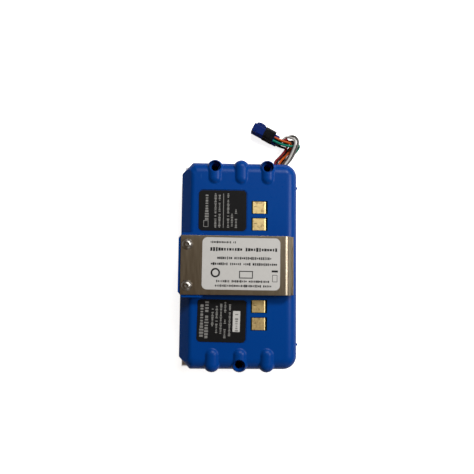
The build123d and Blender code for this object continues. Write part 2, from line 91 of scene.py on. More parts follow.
softbox("key_light", (0.27, 0.46, 0.55), 0.16, 2.3)
softbox("right_light", (0.52, 0.10, 0.50), 0.26, 2.45)
softbox("top_light", (0.06, 0.44, 0.57), 0.22, 1.25)
softbox("end_fill", (0.25, -0.75, 0.35), 0.50, 0.5)

world = bpy.data.worlds.new("studio")
scene.world = world
world.use_nodes = True
sky = world.node_tree
dark_room = sky.nodes["Background"]
dark_room.inputs["Color"].default_value = (0.085, 0.054, 0.024, 1)
pale_wall = sky.nodes.new("ShaderNodeBackground")
pale_wall.inputs["Color"].default_value = (0.92, 0.92, 0.92, 1)
sky_ray = sky.nodes.new("ShaderNodeLightPath")
room_or_wall = sky.nodes.new("ShaderNodeMixShader")
sky.links.new(sky_ray.outputs["Is Camera Ray"], room_or_wall.inputs["Fac"])
sky.links.new(dark_room.outputs["Background"], room_or_wall.inputs[1])
sky.links.new(pale_wall.outputs["Background"], room_or_wall.inputs[2])
sky.links.new(room_or_wall.outputs["Shader"], sky.nodes["World Output"].inputs["Surface"])

floor_half = 2.0
floor_z = -0.00005
floor_mesh = bpy.data.meshes.new("floor")
floor_mesh.from_pydata(
    [(x * floor_half, y * floor_half, floor_z) for x, y in ((-1, -1), (1, -1), (1, 1), (-1, 1))],
    [], [(0, 1, 2, 3)])
floor = bpy.data.objects.new("floor", floor_mesh)
scene.collection.objects.link(floor)
table = bpy.data.materials.new("table")
table.use_nodes = True
table_tree = table.node_tree
table_top = table_tree.nodes["Principled BSDF"]
table_top.inputs["Base Color"].default_value = (0.86, 0.86, 0.86, 1)
table_top.inputs["Roughness"].default_value = 0.8
table_top.inputs["Emission Color"].default_value = (1, 1, 1, 1)

# The table glows to the eye only. Under the pack it stays dark, a painted shadow seen through the screw
# holes.
glow_level = 0.86
shadow_half_x = 0.0300
shadow_half_y = 0.0550
table_point = table_tree.nodes.new("ShaderNodeTexCoord")
to_patch = table_tree.nodes.new("ShaderNodeMapping")
to_patch.inputs["Scale"].default_value = (1 / shadow_half_x, 1 / shadow_half_y, 0)
either_side = table_tree.nodes.new("ShaderNodeVectorMath")
either_side.operation = "ABSOLUTE"
patch_axes = table_tree.nodes.new("ShaderNodeSeparateXYZ")
patch_reach = table_tree.nodes.new("ShaderNodeMath")
patch_reach.operation = "MAXIMUM"
glow = table_tree.nodes.new("ShaderNodeMapRange")
glow.inputs["From Min"].default_value = 0.99
glow.inputs["From Max"].default_value = 1.01
glow.inputs["To Max"].default_value = glow_level
table_ray = table_tree.nodes.new("ShaderNodeLightPath")
glow_seen = table_tree.nodes.new("ShaderNodeMath")
glow_seen.operation = "MULTIPLY"
for outgoing, incoming in (
        (table_point.outputs["Object"], to_patch.inputs["Vector"]),
        (to_patch.outputs["Vector"], either_side.inputs[0]),
        (either_side.outputs["Vector"], patch_axes.inputs["Vector"]),
        (patch_axes.outputs["X"], patch_reach.inputs[0]),
        (patch_axes.outputs["Y"], patch_reach.inputs[1]),
        (patch_reach.outputs["Value"], glow.inputs["Value"]),
        (glow.outputs["Result"], glow_seen.inputs[0]),
        (table_ray.outputs["Is Camera Ray"], glow_seen.inputs[1]),
        (glow_seen.outputs["Value"], table_top.inputs["Emission Strength"])):
    table_tree.links.new(outgoing, incoming)
floor_mesh.materials.append(table)


# Rear shell
# A blue moulded case with finger ribs, screw bosses and the clip's seat. The mould has a fine, even
# satin grain, with a few pale scuffs where the pack has rubbed.
def shade(red, green, blue):
    """A colour as it is seen, 0 to 255, turned into light values."""
    return [((c / 255 + 0.055) / 1.055) ** 2.4 if c > 10 else c / 3295 for c in (red, green, blue)]


def finish(name, colour, roughness, metallic=0.0, shine=0.5):
    """A material with one shader, and Object coordinates for its detail; shine is how much it mirrors."""
    material = bpy.data.materials.new(name)
    material.use_nodes = True
    shader = material.node_tree.nodes["Principled BSDF"]
    shader.inputs["Base Color"].default_value = (*colour, 1)
    shader.inputs["Roughness"].default_value = roughness
    shader.inputs["Metallic"].default_value = metallic
    shader.inputs["Specular IOR Level"].default_value = shine
    material.node_tree.nodes.new("ShaderNodeTexCoord")
    return material


def speckle(material, scale, detail=3.0, stretch=(1, 1, 1), centre=(0, 0, 0), turn=0.0):
    """A noise over the piece, stretched along an axis where the grain runs that way."""
    nodes = material.node_tree.nodes
    mapping = nodes.new("ShaderNodeMapping")
    mapping.inputs["Location"].default_value = centre
    mapping.inputs["Rotation"].default_value = (0, 0, turn)
    mapping.inputs["Scale"].default_value = stretch
    cloud = nodes.new("ShaderNodeTexNoise")
    cloud.inputs["Scale"].default_value = scale
    cloud.inputs["Detail"].default_value = detail
    material.node_tree.links.new(nodes["Texture Coordinate"].outputs["Object"], mapping.inputs["Vector"])
    material.node_tree.links.new(mapping.outputs["Vector"], cloud.inputs["Vector"])
    return cloud.outputs["Fac"]


def between(material, pattern, low, high, span=(0.3, 0.7)):
    """Reads a pattern as numbers from low to high."""
    reading = material.node_tree.nodes.new("ShaderNodeMapRange")
    reading.inputs["From Min"].default_value = span[0]
    reading.inputs["From Max"].default_value = span[1]
    reading.inputs["To Min"].default_value = low
    reading.inputs["To Max"].default_value = high
    material.node_tree.links.new(pattern, reading.inputs["Value"])
    return reading.outputs["Result"]


def tint(material, pattern, colour, strength=1.0):
    """Lays another colour over the present one where the pattern is high."""
    tree = material.node_tree
    base = tree.nodes["Principled BSDF"].inputs["Base Color"]
    mix = tree.nodes.new("ShaderNodeMix")
    mix.data_type = "RGBA"
    if base.is_linked:
        tree.links.new(base.links[0].from_socket, mix.inputs["A"])
    else:
        mix.inputs["A"].default_value = base.default_value
    mix.inputs["B"].default_value = (*colour, 1)
    tree.links.new(between(material, pattern, 0.0, strength, (0.0, 1.0)), mix.inputs["Factor"])
    tree.links.new(mix.outputs["Result"], base)


def scuff(material, pattern, span, colour, strength):
    """Lays a colour over only the patches where the pattern passes the span."""
    tint(material, between(material, pattern, 0, 1, span), colour, strength)


def roughen(material, pattern, low, high):
    """Gloss that changes with the pattern."""
    result = between(material, pattern, low, high)
    material.node_tree.links.new(result, material.node_tree.nodes["Principled BSDF"].inputs["Roughness"])


def emboss(material, pattern, strength, depth):
    """Small relief from the pattern, depth in metres."""
    tree = material.node_tree
    bump = tree.nodes.new("ShaderNodeBump")
    bump.inputs["Strength"].default_value = strength
    bump.inputs["Distance"].default_value = depth
    normal = tree.nodes["Principled BSDF"].inputs["Normal"]
    if normal.is_linked:
        tree.links.new(normal.links[0].from_socket, bump.inputs["Normal"])
    tree.links.new(pattern, bump.inputs["Height"])
    tree.links.new(bump.outputs["Normal"], normal)


def dress(material, *names):
    """Gives CAD pieces their finish."""
    for name in names:
        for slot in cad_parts[name].material_slots:
            slot.material = material


case_blue = finish("moulded_blue", shade(0, 60, 140), 0.30, shine=0.12)
tint(case_blue, speckle(case_blue, 45, 4), shade(0, 72, 150), 0.35)
rubbing = speckle(case_blue, 900, 5, (1, 0.12, 1), turn=0.6)
scuff(case_blue, rubbing, (0.70, 0.80), shade(70, 120, 190), 0.30)
roughen(case_blue, speckle(case_blue, 700, 4), 0.27, 0.36)
emboss(case_blue, speckle(case_blue, 2600, 2), 0.10, 0.00002)
dress(case_blue, "rear_shell")


# Inner cover, its seal and its four screws
# The cover is the same plastic in a duller tone, scuffed where it has lain on benches. A black rubber cord
# runs round inside it, and four countersunk steel screws hold it.
cover_blue = finish("cover_blue", shade(0, 62, 140), 0.50)
tint(cover_blue, speckle(cover_blue, 60, 4), shade(10, 74, 152), 0.4)
bench_marks = speckle(cover_blue, 500, 6, (0.1, 1, 1), turn=0.3)
scuff(cover_blue, bench_marks, (0.66, 0.80), shade(90, 130, 190), 0.4)
roughen(cover_blue, speckle(cover_blue, 300, 4), 0.42, 0.62)
emboss(cover_blue, speckle(cover_blue, 2200, 2), 0.35, 0.00003)
dress(cover_blue, "inner_cover")

rubber = finish("black_rubber", shade(24, 24, 26), 0.62)
tint(rubber, speckle(rubber, 1500, 3), shade(44, 44, 47), 0.5)
emboss(rubber, speckle(rubber, 3000, 2), 0.4, 0.00003)
dress(rubber, "cover_seal", "wire_grommet")

screw_steel = finish("screw_steel", (0.42, 0.41, 0.39), 0.32, 1.0)
tint(screw_steel, speckle(screw_steel, 1800, 4), (0.25, 0.22, 0.19), 0.5)
roughen(screw_steel, speckle(screw_steel, 2500, 3), 0.30, 0.42)
emboss(screw_steel, speckle(screw_steel, 5000, 2), 0.08, 0.00001)
dress(screw_steel, "cover_screws", "clip_screws")


# Cells
# Six nickel-plated steel cups in green shrink sleeves, with paper-fibre rings round their buttons, wound
# electrodes inside, nickel straps spot-welded across the ends, and foam that keeps them still.
cell_steel = finish("cell_steel", (0.58, 0.57, 0.54), 0.28, 1.0)
tint(cell_steel, speckle(cell_steel, 400, 4, (8, 1, 1)), (0.42, 0.40, 0.37), 0.6)
roughen(cell_steel, speckle(cell_steel, 900, 3, (8, 1, 1)), 0.22, 0.40)
cell_names = [f"cell_can_{number}" for number in range(1, 7)]
dress(cell_steel, "cell_caps", *cell_names)

sleeve_green = finish("shrink_sleeve", shade(36, 112, 70), 0.30)
tint(sleeve_green, speckle(sleeve_green, 250, 3, (1, 6, 6)), shade(20, 84, 52), 0.5)
emboss(sleeve_green, speckle(sleeve_green, 500, 3, (0.3, 1, 1)), 0.3, 0.00005)
dress(sleeve_green, *[f"cell_sleeve_{number}" for number in range(1, 7)])

electrode = finish("wound_foil", (0.30, 0.30, 0.31), 0.5, 1.0)
tint(electrode, speckle(electrode, 2000, 2, (0.05, 1, 1)), (0.12, 0.12, 0.13), 0.8)
dress(electrode, "cell_rolls")

fibre = finish("pressed_fibre", shade(124, 128, 110), 0.85)
tint(fibre, speckle(fibre, 1200, 5, (1, 0.3, 1)), shade(96, 100, 86), 0.7)
emboss(fibre, speckle(fibre, 2500, 4), 0.5, 0.00003)
dress(fibre, "cap_rings", "insulating_sheet")

nickel = finish("nickel_strip", (0.62, 0.60, 0.55), 0.30, 1.0)
tint(nickel, speckle(nickel, 1500, 4), (0.40, 0.37, 0.31), 0.5)
emboss(nickel, speckle(nickel, 1800, 1), 0.4, 0.00004)
dress(nickel, "straps_right", "straps_left", "end_tabs")

foam = finish("closed_cell_foam", shade(86, 86, 88), 0.95)
tint(foam, speckle(foam, 1600, 5), shade(52, 52, 54), 0.8)
emboss(foam, speckle(foam, 1600, 4), 0.8, 0.0002)
dress(foam, "end_pads", "cell_foam")


# Contact board, harness board and the parts on them
# Glass-fibre boards under green lacquer, with moulded black parts on the back of the long one.
lacquer = finish("green_lacquer", shade(18, 84, 48), 0.32)
tint(lacquer, speckle(lacquer, 700, 3, (1, 0.08, 1)), shade(10, 58, 34), 0.6)
emboss(lacquer, speckle(lacquer, 1500, 3), 0.3, 0.00002)
dress(lacquer, "contact_board", "harness_board")

moulded_black = finish("moulded_black", shade(26, 26, 27), 0.55)
tint(moulded_black, speckle(moulded_black, 2500, 3), shade(46, 46, 46), 0.6)
dress(moulded_black, "resettable_fuse", "blocking_diodes", "thermistor")


# Charging contacts
# Four gold-plated bronze strips folded round their right edges. The charger's pins have rubbed a dull
# patch and a short dark scratch into each.
scratch_left = 0.0021
scratch_up = 0.0004
scratch_half_length = 0.0011
scratch_half_width = 0.00016


def gold_plate(name):
    """Worn gold, with a scratch a little left of the strip's middle."""
    low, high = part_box(name)
    middle = (low + high) / 2
    material = finish("gold_" + name[-1], (0.95, 0.76, 0.38), 0.40, 1.0)
    tint(material, speckle(material, 900, 5), (0.70, 0.50, 0.20), 0.5)
    dull_patch = speckle(material, 420, 4, centre=(middle.y, 0, 0))
    scuff(material, dull_patch, (0.56, 0.70), (0.30, 0.18, 0.07), 0.6)
    tree = material.node_tree
    to_scratch = tree.nodes.new("ShaderNodeMapping")
    to_scratch.inputs["Location"].default_value = (
        -(middle.x - scratch_left) / scratch_half_length, -(middle.y + scratch_up) / scratch_half_width, 0)
    to_scratch.inputs["Scale"].default_value = (1 / scratch_half_length, 1 / scratch_half_width, 0)
    scratch = tree.nodes.new("ShaderNodeTexGradient")
    scratch.gradient_type = "SPHERICAL"
    tree.links.new(tree.nodes["Texture Coordinate"].outputs["Object"], to_scratch.inputs["Vector"])
    tree.links.new(to_scratch.outputs["Vector"], scratch.inputs["Vector"])
    scuff(material, scratch.outputs["Fac"], (0.0, 0.4), (0.05, 0.03, 0.02), 0.9)
    roughen(material, speckle(material, 1500, 4), 0.36, 0.52)
    emboss(material, speckle(material, 2500, 3), 0.35, 0.00003)
    return material


for number in range(1, 5):
    contact = f"charge_contact_{number}"
    dress(gold_plate(contact), contact)


# Dark labels with plain printing, and the small sticker
# Satin black film in shallow recesses. The printing is only rows of dashes, rules and blank marks, and it
# stands proud by under two hundredths of a millimetre, as screen-printed ink does.
mm = 0.001
ink_height = 0.02 * mm
ink_proud = 0.3


def dash_tree():
    """Geometry nodes: a row of short bars of uneven length, like words seen from afar."""
    tree = bpy.data.node_groups.new("row_of_dashes", "GeometryNodeTree")
    tree.is_modifier = True
    sockets = tree.interface
    sockets.new_socket("Geometry", in_out="OUTPUT", socket_type="NodeSocketGeometry")
    for name, kind in (("Length", "Float"), ("Height", "Float"), ("Count", "Int"), ("Seed", "Int"),
                       ("Fullness", "Float"), ("Ink", "Material")):
        sockets.new_socket(name, in_out="INPUT", socket_type="NodeSocket" + kind)
    nodes = tree.nodes
    inputs = nodes.new("NodeGroupInput")
    output = nodes.new("NodeGroupOutput")

    line = nodes.new("GeometryNodeMeshLine")
    line.mode = "END_POINTS"
    tree.links.new(inputs.outputs["Count"], line.inputs["Count"])
    for share, socket in ((-0.5, "Start Location"), (0.5, "Offset")):
        reach = nodes.new("ShaderNodeMath")
        reach.operation = "MULTIPLY"
        reach.inputs[1].default_value = share
        line_end = nodes.new("ShaderNodeCombineXYZ")
        tree.links.new(inputs.outputs["Length"], reach.inputs[0])
        tree.links.new(reach.outputs[0], line_end.inputs["X"])
        tree.links.new(line_end.outputs[0], line.inputs[socket])

    pitch = nodes.new("ShaderNodeMath")
    pitch.operation = "DIVIDE"
    tree.links.new(inputs.outputs["Length"], pitch.inputs[0])
    tree.links.new(inputs.outputs["Count"], pitch.inputs[1])
    size = nodes.new("ShaderNodeCombineXYZ")
    size.inputs["Z"].default_value = ink_height
    tree.links.new(pitch.outputs[0], size.inputs["X"])
    tree.links.new(inputs.outputs["Height"], size.inputs["Y"])
    bar = nodes.new("GeometryNodeMeshCube")
    tree.links.new(size.outputs[0], bar.inputs["Size"])

    kept = nodes.new("FunctionNodeRandomValue")
    kept.data_type = "BOOLEAN"
    tree.links.new(inputs.outputs["Fullness"], kept.inputs["Probability"])
    tree.links.new(inputs.outputs["Seed"], kept.inputs["Seed"])
    widths = nodes.new("FunctionNodeRandomValue")
    widths.data_type = "FLOAT_VECTOR"
    widths.inputs["Min"].default_value = (0.50, 0.50, 1)
    widths.inputs["Max"].default_value = (0.95, 1.0, 1)
    tree.links.new(inputs.outputs["Seed"], widths.inputs["Seed"])

    placed = nodes.new("GeometryNodeInstanceOnPoints")
    tree.links.new(line.outputs["Mesh"], placed.inputs["Points"])
    tree.links.new(bar.outputs["Mesh"], placed.inputs["Instance"])
    tree.links.new(kept.outputs[3], placed.inputs["Selection"])
    tree.links.new(widths.outputs[0], placed.inputs["Scale"])
    real = nodes.new("GeometryNodeRealizeInstances")
    coloured = nodes.new("GeometryNodeSetMaterial")
    tree.links.new(placed.outputs["Instances"], real.inputs["Geometry"])
    tree.links.new(real.outputs["Geometry"], coloured.inputs["Geometry"])
    tree.links.new(inputs.outputs["Ink"], coloured.inputs["Material"])
    tree.links.new(coloured.outputs["Geometry"], output.inputs["Geometry"])
    return tree


dashes = dash_tree()
dash_inputs = {
    item.name: item.identifier for item in dashes.interface.items_tree if item.in_out == "INPUT"}


def plain_mesh(piece):
    """The piece's mesh with its modifiers worked out."""
    bpy.context.view_layer.update()
    graph = bpy.context.evaluated_depsgraph_get()
    return bpy.data.meshes.new_from_object(piece.evaluated_get(graph))


dash_pitch = 0.62


def printed_row(length, height, seed, fullness, ink):
    """One row of dashes about the origin, along X; their pitch is in proportion to their height."""
    carrier = bpy.data.objects.new("row", bpy.data.meshes.new("row"))
    scene.collection.objects.link(carrier)
    row = carrier.modifiers.new("dashes", "NODES")
    row.node_group = dashes
    values = {"Length": length, "Height": height, "Count": max(2, round(length / (dash_pitch * height))),
              "Seed": seed, "Fullness": fullness, "Ink": ink}
    for name, value in values.items():
        row[dash_inputs[name]] = value
    mesh = plain_mesh(carrier)
    bpy.data.objects.remove(carrier)
    return mesh


def add_bar(ink_mesh, x, y, width, height):
    """One solid bar of ink."""
    place = Matrix.Translation((x, y, 0)) @ Matrix.Diagonal((width, height, ink_height, 1))
    bmesh.ops.create_cube(ink_mesh, size=1, matrix=place)


def add_frame(ink_mesh, x, y, width, height, line):
    """A blank box of four bars."""
    for side in (1, -1):
        add_bar(ink_mesh, x, y + side * (height - line) / 2, width, line)
        add_bar(ink_mesh, x + side * (width - line) / 2, y, line, height - 2 * line)


def add_ring(ink_mesh, x, y, radius, line):
    """A plain ring."""
    steps = 40
    loops = []
    for z in (-ink_height / 2, ink_height / 2):
        for r in (radius - line, radius):
            turns = [2 * math.pi * i / steps for i in range(steps)]
            loops.append([ink_mesh.verts.new((x + r * math.cos(t), y + r * math.sin(t), z)) for t in turns])
    low_in, low_out, high_in, high_out = loops
    for i in range(steps):
        j = (i + 1) % steps
        ink_mesh.faces.new((high_in[i], high_out[i], high_out[j], high_in[j]))
        ink_mesh.faces.new((low_out[i], low_in[i], low_in[j], low_out[j]))
        ink_mesh.faces.new((low_out[i], low_out[j], high_out[j], high_out[i]))
        ink_mesh.faces.new((low_in[j], low_in[i], high_in[i], high_in[j]))


def printing(name, label, turn, rows, marks, ink, body, upright=False):
    """Ink on a label, in mm from its middle. Rows are (x, y, length, height, fullness)."""
    low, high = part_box(label)
    middle = (low + high) / 2
    row_turn = Matrix.Rotation(math.pi / 2 if upright else 0, 4, "Z")
    ink_mesh = bmesh.new()
    for seed, (x, y, length, height, fullness) in enumerate(rows, len(label)):
        row = printed_row(length * mm, height * mm, seed, fullness, ink)
        row.transform(Matrix.Translation((x * mm, y * mm, 0)) @ row_turn)
        ink_mesh.from_mesh(row)
        bpy.data.meshes.remove(row)
    for draw, *sizes in marks:
        draw(ink_mesh, *[size * mm for size in sizes])
    place = Matrix.Translation((middle.x, middle.y, high.z + ink_height * ink_proud))
    ink_mesh.transform(place @ Matrix.Rotation(math.radians(turn), 4, "Z"))
    bmesh.ops.recalc_face_normals(ink_mesh, faces=ink_mesh.faces)
    mesh = bpy.data.meshes.new(name)
    ink_mesh.to_mesh(mesh)
    ink_mesh.free()
    mesh.materials.clear()
    mesh.materials.append(ink)
    piece = bpy.data.objects.new(name, mesh)
    scene.collection.objects.link(piece)
    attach(piece, body)


film_black = finish("black_film", shade(22, 22, 23), 0.40, shine=0.08)
tint(film_black, speckle(film_black, 1100, 5), shade(36, 36, 37), 0.45)
roughen(film_black, speckle(film_black, 1600, 3), 0.40, 0.55)
emboss(film_black, speckle(film_black, 3500, 2), 0.10, 0.00002)
dress(film_black, "upper_label", "lower_label")

pale_ink = finish("pale_ink", shade(150, 150, 148), 0.5)
tint(pale_ink, speckle(pale_ink, 2500, 4), shade(84, 84, 84), 0.9)

upper_rows = [
    (-8.2, 1.6, 12.4, 2.1, 0.92),
    (-3.7, 0.0, 17.4, 1.25, 0.80),
    (-1.6, 0.0, 17.4, 1.25, 0.80),
    (2.9, 0.0, 17.4, 1.25, 0.80),
    (4.9, -5.4, 7.0, 1.25, 0.85),
    (7.0, -3.0, 11.6, 1.25, 0.80),
]
upper_marks = [
    (add_bar, 0.45, -0.1, 0.35, 18.0),
    (add_frame, -8.6, -7.0, 2.6, 3.4, 0.30),
]
printing("upper_label_print", "upper_label", 0.0, upper_rows, upper_marks, pale_ink, "case", upright=True)

lower_rows = [
    (-10.2, -0.2, 15.2, 2.2, 0.92),
    (-7.7, 0.4, 17.6, 2.2, 0.92),
    (-4.7, 1.6, 8.4, 1.25, 0.85),
    (-2.6, 0.6, 13.2, 1.25, 0.85),
    (-0.4, 0.6, 15.4, 1.25, 0.80),
    (1.7, 0.4, 17.8, 1.25, 0.80),
    (4.1, 0.4, 15.6, 1.25, 0.80),
]
lower_turn = -1.2
printing("lower_label_print", "lower_label", lower_turn, lower_rows, [], pale_ink, "case", upright=True)

film_white = finish("white_film", shade(206, 206, 204), 0.42)
tint(film_white, speckle(film_white, 500, 5), shade(190, 190, 188), 0.6)
scuff(film_white, speckle(film_white, 900, 6), (0.66, 0.78), shade(160, 158, 152), 0.35)
roughen(film_white, speckle(film_white, 1200, 3), 0.36, 0.50)
emboss(film_white, speckle(film_white, 2200, 3), 0.2, 0.00002)
dress(film_white, "serial_sticker", "clip_label")

dark_ink = finish("dark_ink", shade(18, 18, 20), 0.45, shine=0.2)
tint(dark_ink, speckle(dark_ink, 2600, 4), shade(64, 64, 66), 0.5)
serial_rows = [(0.1, 0.0, 9.4, 1.7, 0.85)]
printing("serial_sticker_print", "serial_sticker", lower_turn, serial_rows, [],
         pale_ink, "case", upright=True)


# Belt clip
# One strip of 0.8 mm stainless spring steel: a flat leaf under two screws, a long springing arm, a steep
# bend at its end and a small turned-up lip. It is brushed across its length, and its edges are just broken.
def bent_line(corners, radii, steps):
    """A side outline of a bent strip: straight runs with a true arc at each inner corner."""
    line = [corners[0]]
    for before, corner, after, radius in zip(corners, corners[1:], corners[2:], radii):
        back = (before - corner).normalized()
        ahead = (after - corner).normalized()
        half_angle = back.angle(ahead) / 2
        centre = corner + (back + ahead).normalized() * (radius / math.sin(half_angle))
        start = (corner + back * (radius / math.tan(half_angle)) - centre).normalized()
        end = (corner + ahead * (radius / math.tan(half_angle)) - centre).normalized()
        for step in range(steps + 1):
            line.append(centre + start.slerp(end, step / steps) * radius)
    line.append(corners[-1])
    return line


leaf_low, leaf_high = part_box("belt_clip_base")
split_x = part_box("belt_clip_arm")[0].x
sheet = leaf_high.z - leaf_low.z
middle_z = (leaf_low.z + leaf_high.z) / 2
bend_x = 0.0246
foot = (0.0270, 0.0225)
lip_tip = (0.0278, 0.0233)
bend_radius = 0.0030
lip_radius = 0.0006
arc_steps = 12
blend_steps = 6
steps_across = 12
strip_corners = [Vector((x, 0, z)) for x, z in ((leaf_low.x, middle_z), (bend_x, middle_z), foot, lip_tip)]
side_line = bent_line(strip_corners, (bend_radius, lip_radius), arc_steps)
blend_start = split_x - 0.0003
blend_end = split_x + 0.0045
blend_length = blend_end - blend_start
flat_stops = [blend_start + blend_length * step / blend_steps for step in range(blend_steps + 1)]
flat_stops += [-0.008, 0.0, 0.008, 0.016]
side_line[1:1] = [Vector((x, 0, middle_z)) for x in flat_stops]
across = [leaf_low.y + (leaf_high.y - leaf_low.y) * step / steps_across for step in range(steps_across + 1)]

strip = bmesh.new()
sides = []
for place, point in enumerate(side_line):
    before = side_line[max(place - 1, 0)]
    after = side_line[min(place + 1, len(side_line) - 1)]
    along = (after - before).normalized()
    out = Vector((-along.z, 0, along.x)) * sheet / 2
    top_row = [strip.verts.new((point + out) + Vector((0, y, 0))) for y in across]
    low_row = [strip.verts.new((point - out) + Vector((0, y, 0))) for y in across]
    sides.append((top_row, low_row))
for (top_a, low_a), (top_b, low_b) in zip(sides, sides[1:]):
    for i in range(steps_across):
        strip.faces.new((top_a[i], top_b[i], top_b[i + 1], top_a[i + 1]))
        strip.faces.new((low_a[i], low_a[i + 1], low_b[i + 1], low_b[i]))
    strip.faces.new((top_a[0], low_a[0], low_b[0], top_b[0]))
    strip.faces.new((top_a[-1], top_b[-1], low_b[-1], low_a[-1]))
for top_row, low_row in (sides[0], sides[-1]):
    for i in range(steps_across):
        strip.faces.new((top_row[i], top_row[i + 1], low_row[i + 1], low_row[i]))
bmesh.ops.recalc_face_normals(strip, faces=strip.faces)
clip_mesh = bpy.data.meshes.new("belt_clip")
strip.to_mesh(clip_mesh)
strip.free()
clip_mesh.shade_smooth()
belt_clip = bpy.data.objects.new("belt_clip", clip_mesh)
scene.collection.objects.link(belt_clip)
broken_edge = belt_clip.modifiers.new("broken_edge", "BEVEL")
broken_edge.width = 0.00015
broken_edge.segments = 2
broken_edge.limit_method = "ANGLE"
broken_edge.angle_limit = math.radians(60)
weighted = belt_clip.modifiers.new("weighted", "WEIGHTED_NORMAL")
weighted.weight = 100
weighted.keep_sharp = True
belt_clip.data = plain_mesh(belt_clip)
belt_clip.modifiers.clear()

# The dark brown of the steel's base colour is a painted reflection of a warm, dark room.
clip_steel = finish("brushed_steel", (0.34, 0.29, 0.22), 0.30, 1.0)
tint(clip_steel, speckle(clip_steel, 300, 4, (14, 0.5, 1)), (0.25, 0.20, 0.13), 0.45)
scuff(clip_steel, speckle(clip_steel, 1400, 5), (0.62, 0.72), (0.44, 0.41, 0.36), 0.3)
roughen(clip_steel, speckle(clip_steel, 240, 3, (20, 0.5, 1)), 0.30, 0.42)
emboss(clip_steel, speckle(clip_steel, 260, 3, (24, 0.4, 1)), 0.15, 0.000006)
belt_clip.data.materials.clear()
belt_clip.data.materials.append(clip_steel)
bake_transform(belt_clip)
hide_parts("belt_clip_base", "belt_clip_arm")


# Clip inserts and the white sticker's printing
# Brass inserts moulded into the seat take the screws. The sticker on the arm is bare white film with rows
# of dashes, a blank box, a plain ring and a bar.
brass = finish("insert_brass", (0.62, 0.44, 0.20), 0.30, 1.0)
tint(brass, speckle(brass, 2000, 3), (0.45, 0.30, 0.12), 0.6)
dress(brass, "clip_inserts")

sticker_rows = [
    (-9.3, 10.8, 12.3, 1.25, 0.85),
    (1.9, 7.2, 34.3, 2.1, 0.93),
    (1.6, 2.8, 26.7, 1.50, 0.88),
    (1.9, -0.2, 33.7, 1.50, 0.88),
    (0.8, -8.9, 26.1, 1.35, 0.88),
    (0.7, -11.2, 28.7, 1.35, 0.88),
]
sticker_marks = [
    (add_frame, 2.5, -5.5, 7.0, 3.8, 0.45),
    (add_ring, -13.0, -4.7, 2.4, 0.85),
    (add_bar, 17.1, -3.6, 3.2, 1.0),
    (add_frame, 17.1, -7.2, 2.6, 3.6, 0.25),
]
printing("clip_label_print", "clip_label", -0.35, sticker_rows, sticker_marks, dark_ink, "clip_arm")


# Harness
# Eight single wires in soft coloured insulation run from the harness board through the grommet, fold over
# in one tight bunch and enter the connector. Each keeps its own place in the fold.
wire_thickness = 0.0013
plug_tip = Vector((0.0077, 0.0774, 0))
plug_turn = math.radians(-27.75)
plug_rows = (0.00045, -0.00155)
plug_levels = (0.00145, 0.00310, 0.00475, 0.00640)
plug_approach = 0.0176
wire_end = 0.0136
top_wire_end = 0.0128
upper_heights = (0.0086, 0.0063)
lower_heights = (0.0066, 0.0045)


def at_plug(along, across_plug, height):
    """A point near the connector: along its axis from its mating end, across it, and up."""
    turned = Matrix.Rotation(plug_turn, 3, "Z") @ Vector((along, across_plug, 0))
    return tuple(plug_tip + turned + Vector((0, 0, height)))


def wire_start(x, heights):
    """A wire's first points: down off the harness board, then straight out through the grommet."""
    board_z, outlet_z = heights
    return [(x, 0.0456, board_z), (x, 0.0503, outlet_z), (x, 0.0560, outlet_z)]


def into_plug(row, level, end):
    """The last two points of a wire, straight in line with its cavity; row 0 is on the latch's side."""
    return [at_plug(along, plug_rows[row], plug_levels[level]) for along in (plug_approach, end)]


